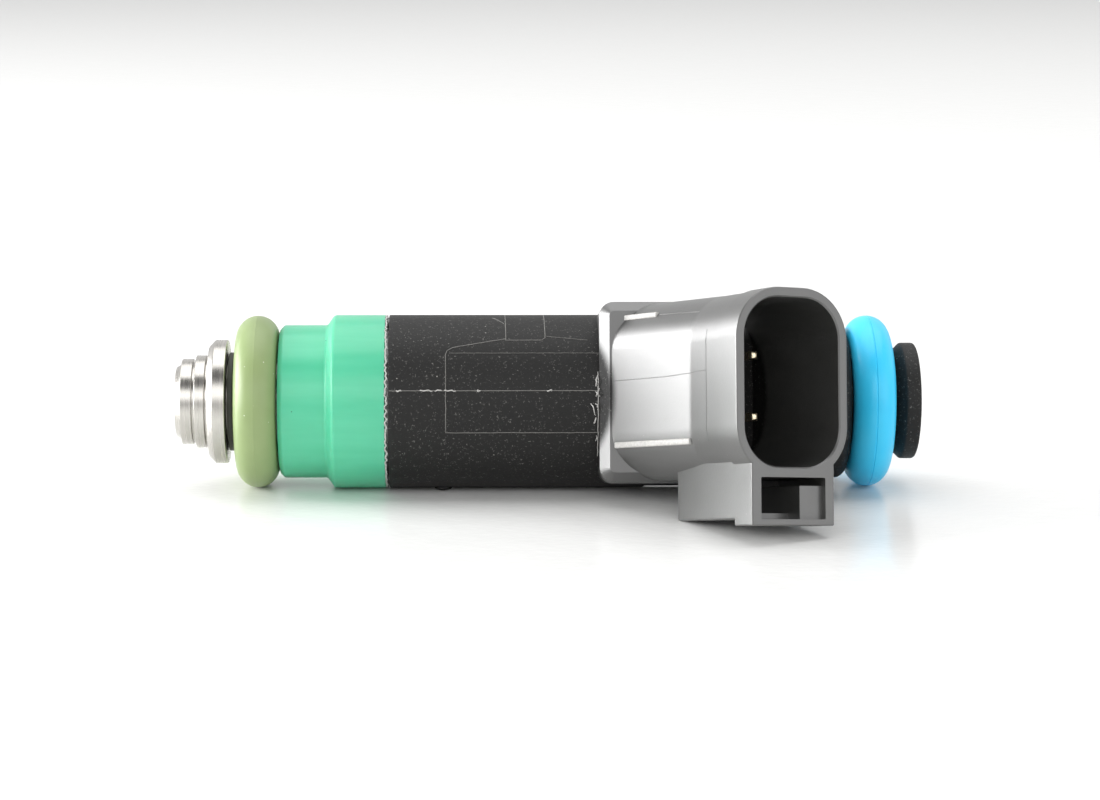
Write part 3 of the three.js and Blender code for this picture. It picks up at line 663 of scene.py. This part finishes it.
def soften(bm, edges, width, steps=3):
    bmesh.ops.bevel(bm, geom=edges, offset=width * MM, offset_type="OFFSET", affect="EDGES",
                    segments=steps, profile=0.5, material=-1, clamp_overlap=True)


def place_in_tower(bm):
    """Lays a shape that was modelled upright into the tower's place."""
    bmesh.ops.recalc_face_normals(bm, faces=bm.faces)
    bmesh.ops.transform(bm, matrix=to_tower, verts=bm.verts)
    return bm


tower = bmesh.new()
plain_half = TOWER_HALF - COLLAR_STEP
ROOT_START = 1.9
face = rounded_face(tower, TOWER_LOW - COLLAR_STEP, TOWER_HIGH - COLLAR_STEP, plain_half,
                    TOWER_CORNER, ROOT_START)
face = raise_face(tower, face, ROOT_U - ROOT_START, spread=ROOT_SPREAD)
face = raise_face(tower, face, CREASE_U - ROOT_U, spread=-ROOT_SPREAD)
crease = [edge for edge in face.edges if all(v.co.x < 0 for v in edge.verts)]
face = raise_face(tower, face, COLLAR_U - COLLAR_STEP - CREASE_U)
face = raise_face(tower, face, COLLAR_STEP, grow=COLLAR_STEP)
face = raise_face(tower, face, TOWER_REACH - COLLAR_U)
soften(tower, face.edges[:], 0.16)
soften(tower, crease, 0.25, 2)
place_in_tower(tower)
print("tower", len(tower.faces), "faces", all(edge.is_manifold for edge in tower.edges))

# %% [markdown]
# ## Black moulding: root pad and latch guard
# The tower grows out of a low pad on the barrel, a block with rounded corners and a chamfer. The
# latch guard is a box under the tower, with a lower collar at the rim. Its inner end is parallel
# to the barrel, so it is cut off with a plane. All edges are softened while the shapes are simple.

# %% Model the pad and the guard
def block(low, high, softness, steps=3):
    """A softened box between two corners, in millimetres."""
    bm = bmesh.new()
    bmesh.ops.create_cube(bm, size=1)
    size = Vector(high) - Vector(low)
    bmesh.ops.scale(bm, vec=size * MM, verts=bm.verts)
    bmesh.ops.translate(bm, vec=(Vector(low) + size / 2) * MM, verts=bm.verts)
    if softness:
        soften(bm, bm.edges[:], softness, steps)
    return bm


PAD_START, PAD_END, PAD_TOP, PAD_BACK = barrel_end - 4.0, barrel_end + 8.2, BARREL + 0.8, 1.0
PAD_CORNER, PAD_CHAMFER = 1.2, 0.8
pad = block((PAD_START, -PAD_TOP, TOWER_W - TOWER_HALF),
            (PAD_END, PAD_BACK, TOWER_W + TOWER_HALF), 0)
upright = [e for e in pad.edges if abs(e.verts[0].co.y - e.verts[1].co.y) > MM]
soften(pad, upright, PAD_CORNER, 8)
front = [e for e in pad.edges if all(v.co.y < -(PAD_TOP - 0.1) * MM for v in e.verts)]
bmesh.ops.bevel(pad, geom=front, offset=PAD_CHAMFER * MM, offset_type="OFFSET", affect="EDGES",
                segments=1, profile=0.5, material=-1)
bmesh.ops.recalc_face_normals(pad, faces=pad.faces)
bmesh.ops.transform(pad, matrix=laid_down, verts=pad.verts)

GUARD_LOW, GUARD_HIGH, GUARD_DEPTH, GUARD_COLLAR = -3.8, 3.9, 10.42, 0.5
GUARD_INNER = 11.5
guard_top = TOWER_W - TOWER_HALF + 2 * WALL
guard = block((GUARD_LOW, -GUARD_DEPTH, 0), (GUARD_HIGH, guard_top, COLLAR_U + 1), 0)
cut_at = Vector((0, 0, GUARD_INNER / math.cos(tower_tilt))) * MM
cut_way = Vector((math.sin(tower_tilt), 0, -math.cos(tower_tilt)))
everything = guard.verts[:] + guard.edges[:] + guard.faces[:]
bmesh.ops.bisect_plane(guard, geom=everything, plane_co=cut_at, plane_no=cut_way, clear_outer=True)
bmesh.ops.holes_fill(guard, edges=[e for e in guard.edges if e.is_boundary], sides=8)
soften(guard, guard.edges[:], 0.16)
guard_collar = block((GUARD_LOW, -GUARD_DEPTH - GUARD_COLLAR, COLLAR_U),
                     (GUARD_HIGH, guard_top, TOWER_REACH), 0.14)
for shape in (guard, guard_collar):
    place_in_tower(shape)
for shape in (pad, tower, guard, guard_collar):
    body = combine(body, shape, "UNION")
print("joined", len(body.faces), "faces")

# %% [markdown]
# ## Black moulding: socket, latch pocket and bore
# What the mould's cores left empty is cut away last. Each core flares a little at the mouth, which
# leaves a chamfer on the edge. The rib in the latch pocket is put back as two softened blocks that
# stand slightly behind the rim, one for each level of the pocket's floor.

# %% Cut the hollows
SOCKET_U = TOWER_REACH - 12.5
PAST = 1.0
FLARE = 0.12
core = bmesh.new()
face = rounded_face(core, TOWER_LOW - WALL, TOWER_HIGH - WALL, TOWER_HALF - WALL,
                    TOWER_CORNER - WALL, SOCKET_U)
face = raise_face(core, face, TOWER_REACH - FLARE - SOCKET_U)
face = raise_face(core, face, FLARE, grow=FLARE)
face = raise_face(core, face, PAST)
place_in_tower(core)

GUARD_WALL, GUARD_FLOOR, POCKET_DEPTH = 0.85, 0.5, 6.6
RIB_WIDTH, RIB_RECESS, RIB_GAP = 2.1, 0.5, 0.6
pocket_low, pocket_high = GUARD_LOW + GUARD_WALL, GUARD_HIGH - GUARD_WALL
pocket_floor = GUARD_FLOOR - GUARD_DEPTH
pocket_top = TOWER_W - TOWER_HALF
pocket = block((pocket_low, pocket_floor, TOWER_REACH - POCKET_DEPTH),
               (pocket_high, pocket_top, TOWER_REACH + PAST), 0.12)
mouth = block((pocket_low, pocket_floor - GUARD_COLLAR, COLLAR_U + GUARD_FLOOR),
              (pocket_high, pocket_top, TOWER_REACH + PAST), 0.12)
SUNK = 0.2
ribs = [block((pocket_high - RIB_WIDTH, low - SUNK, start - SUNK),
              (pocket_high + SUNK, pocket_top - RIB_GAP, TOWER_REACH - RIB_RECESS), 0.08)
        for low, start in ((pocket_floor, TOWER_REACH - POCKET_DEPTH),
                           (pocket_floor - GUARD_COLLAR, COLLAR_U + GUARD_FLOOR))]
for shape in (pocket, mouth, *ribs):
    place_in_tower(shape)
_, housing_end, _ = span("coil_housing")
CLEAR = 0.15
TUBE_BORE = 3.05
bore = turn_piece([
    (body_start - PAST, 0, 0), (body_start - PAST, CAN_BORE, 0),
    (housing_end + CLEAR, CAN_BORE, 0), (housing_end + CLEAR, TUBE_BORE, 0),
    (inlet_face + PAST, TUBE_BORE, 0), (inlet_face + PAST, 0, 0),
], closed=False, steps=96)
for hollow in (bore, core, pocket, mouth):
    body = combine(body, hollow, "DIFFERENCE")
for rib in ribs:
    body = combine(body, rib, "UNION")
print("hollowed", len(body.faces), "faces")

# %% [markdown]
# ## Terminals
# Two flat copper alloy blades, tin plated, run up from the coil. The working model's blades have
# the right shape, so a copy is merged and its flat faces are dissolved, and only the four edges of
# the tip get the lead-in that lets the plug slide on. A slightly swollen copy of each blade cuts
# its passage through the moulding.

# %% Point the blades and cut their passages
PIN_GAP = 0.3


def merged_copy(node):
    bm = bmesh.new()
    bm.from_mesh(frame["nodes"][node].data)
    bmesh.ops.remove_doubles(bm, verts=bm.verts, dist=MERGE)
    bmesh.ops.dissolve_limit(bm, angle_limit=math.radians(1), verts=bm.verts, edges=bm.edges)
    bmesh.ops.recalc_face_normals(bm, faces=bm.faces)
    return bm


for node in ("terminal_upper", "terminal_lower"):
    blade = merged_copy(node)
    passage = blade.copy()
    bmesh.ops.recalc_face_normals(passage, faces=passage.faces)
    for face in passage.faces[:]:
        bmesh.ops.translate(passage, vec=face.normal * PIN_GAP * MM, verts=face.verts)
    body = combine(body, passage, "DIFFERENCE")
    tip = max(blade.faces, key=lambda f: f.calc_center_median().dot(tower_u))
    soften(blade, tip.edges[:], 0.2, 3)
    finished(node + "_blade", blade, TINNED_PIN, "tinned_pin", node, sharp=40)

# %% [markdown]
# ## Even shading on the moulding
# Joining and cutting leaves long thin faces beside small ones, and plain smooth shading would lean
# towards the small ones. The Weighted Normal modifier lets the large faces decide, and keeps the
# edges that `finished` marked as sharp.

# %% Finish the moulding
moulding = finished("black_body", body, BLACK_NYLON, "black_nylon", "overmould_body", sharp=28)
even = moulding.modifiers.new("even_shading", "WEIGHTED_NORMAL")
even.keep_sharp = True

# %% [markdown]
# ## Inlet end
# Fuel comes in through a steel tube that ends just inside the flange. A basket filter sits in it:
# a brass ring holds it in the bore, a plastic cage carries it, and a fine cloth lines the cage.

# %% Turn the tube, the ring and the filter
tube_start, tube_end, _ = span("inlet_tube")
_, shell_end, _ = span("nonmagnetic_ring")
FUEL_BORE, FILTER_SEAT, FILTER_SEAT_DEPTH, TUBE_OUTSIDE, POLE_NECK = 1.55, 2.3, 14.2, 2.9, 2.85
tube = turn_piece([
    (tube_start, FUEL_BORE, 0), (tube_start, POLE_NECK, 0), (shell_end + CLEAR, POLE_NECK, 0),
    (shell_end + CLEAR, TUBE, 0), (housing_end, TUBE, 0), (housing_end, TUBE_OUTSIDE, 0),
    (tube_end, TUBE_OUTSIDE, 0.12), (tube_end, FILTER_SEAT, 0.15),
    (tube_end - FILTER_SEAT_DEPTH, FILTER_SEAT, 0),
    (tube_end - FILTER_SEAT_DEPTH, FUEL_BORE, 0),
], steps=96)
finished("fuel_tube", tube, MAGNETIC_STEEL, "magnetic_steel", "inlet_tube")

collar_start, collar_end, collar_radius = span("filter_collar")
collar = turn_piece([
    (collar_start, 1.75, 0.08), (collar_start, collar_radius, 0.1),
    (collar_end, collar_radius, 0.18), (collar_end, 1.75, 0.18),
], steps=96)
finished("brass_collar", collar, BRASS_RING, "brass_ring", "filter_collar")

cage_start, cage_end, cage_radius = span("filter_frame")
CAGE_BORE, CAGE_CAP, CAGE_HOOP, CAGE_WINDOW = 1.6, 0.6, 1.1, 1.3
cage = turn_piece([
    (cage_start, 0, 0), (cage_start, cage_radius, 0.2), (cage_end, cage_radius, 0.1),
    (cage_end, CAGE_BORE, 0.1), (cage_start + CAGE_CAP, CAGE_BORE, 0),
    (cage_start + CAGE_CAP, 0, 0),
], closed=False, steps=96)
window = (cage_end - cage_start - CAGE_CAP - 3 * CAGE_HOOP) / 2
for row in range(2):
    low = cage_start + CAGE_CAP + CAGE_HOOP + row * (window + CAGE_HOOP)
    for across, side in ((3.0, CAGE_WINDOW / 2), (CAGE_WINDOW / 2, 3.0)):
        opening = block((low, -across, -side), (low + window, across, side), 0.15)
        bmesh.ops.transform(opening, matrix=laid_down, verts=opening.verts)
        cage = combine(cage, opening, "DIFFERENCE")
finished("filter_cage", cage, FILTER_PLASTIC, "filter_plastic", "filter_frame")

cloth_start, cloth_end, cloth_radius = span("filter_screen")
CLOTH_THICKNESS = 0.18
cloth = turn_piece([
    (cloth_start, cloth_radius - CLOTH_THICKNESS, 0), (cloth_start, cloth_radius, 0),
    (cloth_end, cloth_radius, 0), (cloth_end, cloth_radius - CLOTH_THICKNESS, 0),
], steps=96)
finished("woven_screen", cloth, FILTER_CLOTH, "filter_cloth", "filter_screen")

# %% [markdown]
# ## Mould lines
# Where mould halves and slides meet, nylon creeps out as hair-thin ridges. They are what makes a
# moulding look moulded. Each is a fine round wire that follows the surface: a route is a few points
# with a place along the axis and an angle round it, and a curve with a small bevel gives it body.

# %% Draw ridges on the barrel
def strand(name, points, thickness):
    """A fine round wire through points in metres, as a mesh."""
    data = bpy.data.curves.new(name, "CURVE")
    data.dimensions = "3D"
    data.bevel_depth = thickness / 2 * MM
    data.bevel_resolution = 1
    data.use_fill_caps = True
    line = data.splines.new("POLY")
    line.points.add(len(points) - 1)
    for spot, point in zip(line.points, points):
        spot.co = (*point, 1)
    holder = bpy.data.objects.new(name, data)
    bpy.context.scene.collection.objects.link(holder)
    bpy.context.view_layer.update()
    mesh = bpy.data.meshes.new_from_object(holder)
    bm = bmesh.new()
    bm.from_mesh(mesh)
    bpy.data.objects.remove(holder)
    bpy.data.curves.remove(data)
    bpy.data.meshes.remove(mesh)
    bmesh.ops.remove_doubles(bm, verts=bm.verts, dist=MERGE / 4)
    return bm


def on_barrel(x, degrees, radius=BARREL):
    """A point on the barrel, its angle measured up from the connector's side."""
    angle = math.radians(degrees)
    flat = Vector((x, -radius * math.cos(angle), radius * math.sin(angle))) * MM
    return laid_down @ flat


def along_route(corners, stride=0.4):
    """Points every so many millimetres along a route of (x, degrees) corners on the barrel."""
    points = []
    for (x0, a0), (x1, a1) in zip(corners, corners[1:]):
        length = math.hypot(x1 - x0, math.radians(a1 - a0) * BARREL)
        steps = max(2, round(length / stride))
        for i in range(steps):
            share = i / steps
            points.append((x0 + (x1 - x0) * share, a0 + (a1 - a0) * share))
    return points + [corners[-1]]


def ragged(points, amount, seed):
    """Moves each (x, degrees) point by a little smooth noise, so that a line isn't ruled."""
    moved = []
    for i, (x, degrees) in enumerate(points):
        drift = noise.noise(Vector((x * 2.1, degrees * 0.3, seed)))
        moved.append((x + amount * drift * 0.6, degrees + amount * 6 * drift))
    return moved


PANEL_LEFT, PANEL_LOW, PANEL_HIGH, PARTING = 22.64, -24.3, 29.5, 3.3
BOX_LEFT, BOX_RIGHT, BOX_LOW, BOX_HIGH = 27.64, 30.9, 40.3, 78.0
rear = PAD_START + 0.1
routes = {
    "parting": ([(body_start + 0.1, PARTING), (rear, PARTING)], 0.075),
    "panel_low": ([(PANEL_LEFT, PARTING + 25), (PANEL_LEFT, PANEL_LOW), (rear, PANEL_LOW)], 0.065),
    "panel_high": ([(PANEL_LEFT + 0.3, PANEL_HIGH), (rear, PANEL_HIGH)], 0.045),
    "panel_corner": ([(PANEL_LEFT, 28.3), (PANEL_LEFT + 0.15, 31.6), (PANEL_LEFT + 0.6, 33.9),
                      (BOX_LEFT, 41.6)], 0.065),
    "box": ([(BOX_LEFT, BOX_HIGH), (BOX_LEFT, BOX_LOW), (BOX_RIGHT - 0.3, BOX_LOW),
             (BOX_RIGHT, BOX_LOW + 2.4), (BOX_RIGHT, BOX_HIGH), (BOX_LEFT, BOX_HIGH)], 0.065),
    "slide": ([(BOX_RIGHT + 0.1, 43.9), (rear - 1.0, 40.3)], 0.05),
    "scratch": ([(26.6, 69.2), (27.5, 58.9)], 0.05),
    "far_parting": ([(body_start + 0.1, PARTING + 180), (barrel_end, PARTING + 180)], 0.075),
}
for seed, (name, (route, thickness)) in enumerate(routes.items()):
    points = [on_barrel(x, a) for x, a in ragged(along_route(route), 0.05, seed)]
    finished("mould_line_" + name, strand(name, points, thickness), SEAM_NYLON, "black_nylon")

# %% [markdown]
# ## Torn flash
# Where the ridge was thickest it tore as the mould opened. That leaves pale shreds along the
# parting line and at the root of the tower, a dark curl under the barrel, and a ragged rim where
# the barrel meets the sleeve. A shred is a short strand whose lift follows half a sine wave, and
# the rim is a thin ring whose edge is pushed along the axis by noise.

# %% Add the shreds and the ragged rim
DEGREES_PER_MM = math.degrees(1 / BARREL)


def shred(name, x, degrees, length, lean, lift, seed, thickness, finish=FLASH_AND_HIGHLIGHT_NYLON):
    """A short torn wisp that starts on the barrel and curls off it."""
    points = []
    for i in range(9):
        share = i / 8
        wander = noise.noise(Vector((share * 3.0, seed * 1.7, 0.5)))
        points.append(on_barrel(x + length * share * math.cos(lean) + 0.12 * wander,
                                degrees + DEGREES_PER_MM * length * share * math.sin(lean) + wander,
                                BARREL + lift * math.sin(math.pi * share) + 0.02))
    finished(name, strand(name, points, thickness), finish, "black_nylon")


torn_parting = ((18.6, 0.4), (20.5, 1.1), (21.8, 0.5), (22.5, 1.0), (25.2, 0.3), (31.0, 0.4))
for number, (x, length) in enumerate(torn_parting):
    shred(f"parting_shred_{number}", x, PARTING, length, 0.0, 0.05, number, 0.1)
torn_root = (
    (-1.0, 1.2, 0.8), (2.5, -0.9, 0.5), (6.0, 1.4, 0.9), (-4.5, -1.3, 0.6),
    (-12.5, 2.0, 1.0), (-14.5, -1.9, 0.45), (-30.0, 1.4, 0.5),
)
for number, (degrees, lean, length) in enumerate(torn_root):
    shred(f"root_shred_{number}", PAD_START - 0.3, degrees, length, lean, 0.3, number + 20,
          0.07 + 0.02 * (number % 3))
edge_route = along_route([(PAD_START - 0.1, 16.0), (PAD_START - 0.1, -42.0)])
edge_line = [on_barrel(x, degrees) for x, degrees in ragged(edge_route, 0.12, 31)]
finished("mould_line_root", strand("mould_line_root", edge_line, 0.07), FLASH_AND_HIGHLIGHT_NYLON, "black_nylon")
shred("under_shred", 21.7, -86.0, 1.4, 0.0, 0.2, 40, 0.14, BLACK_NYLON)

RIM_WIDTH, RIM_TEETH = 0.13, 0.22
rim_start = sleeve_end + 0.02
rim_low, rim_high = BARREL - 0.35, BARREL - 0.02
flash_rim = turn_piece([
    (rim_start, rim_low, 0), (rim_start, rim_high, 0),
    (rim_start + RIM_WIDTH, rim_high, 0), (rim_start + RIM_WIDTH, rim_low, 0),
], steps=360)
for vert in flash_rim.verts:
    angle = math.atan2(vert.co.z, vert.co.y)
    tooth = noise.noise(Vector((math.cos(angle), math.sin(angle), 0)) * 22.0)
    if math.hypot(vert.co.y, vert.co.z) > (BARREL - 0.1) * MM:
        vert.co.x += RIM_TEETH * tooth * MM
finished("flash_rim", flash_rim, FLASH_AND_HIGHLIGHT_NYLON, "black_nylon")

# %% [markdown]
# ## Marks on the tower
# Two slim ribs stand on the nozzle side of the tower near its corners, and fine lines show where
# the mould's slide ended. The ribs are coloured pale as a painted highlight, the bright line that
# light draws along them. They are modelled upright in the tower's axes and laid in place with it.

# %% Ribs and fine lines on the tower
def corner_depth(w):
    """How far the rounded corner has fallen back from the tower's flat side, at a given W."""
    past_flat = abs(w - TOWER_W) - (plain_half - TOWER_CORNER)
    if past_flat <= 0:
        return 0.0
    return TOWER_CORNER - math.sqrt(TOWER_CORNER ** 2 - past_flat ** 2)


def side_v(u, w):
    """V of the tower's nozzle side at a height U and a place W."""
    rising = min(1.0, max(0.0, (CREASE_U - u) / (CREASE_U - ROOT_U)))
    return -(TOWER_LOW - COLLAR_STEP) - ROOT_SPREAD * rising + corner_depth(w)


def tower_rib(name, w, start, end, width, height):
    rib = block((-height, -width / 2, 0), (height, width / 2, end - start), 0.1)
    lean = math.atan(ROOT_SPREAD / (CREASE_U - ROOT_U))
    bmesh.ops.rotate(rib, verts=rib.verts, cent=(0, 0, 0), matrix=Matrix.Rotation(lean, 3, "Y"))
    bmesh.ops.translate(rib, vec=Vector((side_v(start, w), w, start)) * MM, verts=rib.verts)
    # The pale finish on each rib is a painted highlight for the light it catches, not the rib's own
    # colour.
    finished(name, place_in_tower(rib), FLASH_AND_HIGHLIGHT_NYLON, "black_nylon")


tower_rib("tower_rib_lower", -4.14, ROOT_U + 0.3, CREASE_U, 0.5, 0.22)
tower_rib("tower_rib_upper", 6.34, ROOT_U + 0.3, 10.0, 0.45, 0.22)

tower_lines = {
    "parting": [(ROOT_U + 0.2, 1.15), (12.0, 1.15), (17.4, 1.4)],
    "slide_end": [(17.4, -4.2), (17.4, 4.6)],
    "upper": [(10.0, 6.34), (CREASE_U, 6.2)],
}
for name, corners in tower_lines.items():
    points = []
    for (u0, w0), (u1, w1) in zip(corners, corners[1:]):
        for i in range(12):
            u, w = u0 + (u1 - u0) * i / 11, w0 + (w1 - w0) * i / 11
            points.append(to_tower @ (Vector((side_v(u, w), w, u)) * MM))
    finished("tower_line_" + name, strand(name, points, 0.06), BLACK_NYLON, "black_nylon")

# %% [markdown]
# ## Inner pieces
# The pieces inside are already the right shape. They keep their own meshes and get the finish
# that the real ones have, so that a view with the body taken off shows steel, copper and nylon.

# %% Finish the inner pieces
inner = {
    "valve_seat": HARD_STEEL, "ball_guide": HARD_STEEL, "valve_ball": HARD_STEEL,
    "needle_tube": TURNED_STEEL, "armature": MAGNETIC_STEEL, "return_spring": SPRING_STEEL,
    "adjusting_sleeve": TURNED_STEEL, "nonmagnetic_ring": TURNED_STEEL,
    "coil_housing": MAGNETIC_STEEL, "coil_bobbin": BOBBIN_NYLON, "coil_winding": COPPER_WIRE,
    "flux_washer": MAGNETIC_STEEL,
}
for node, finish in inner.items():
    mesh = frame["nodes"][node].data
    mesh.materials.clear()
    mesh.materials.append(finish.material)
print(len(inner), "inner pieces finished")
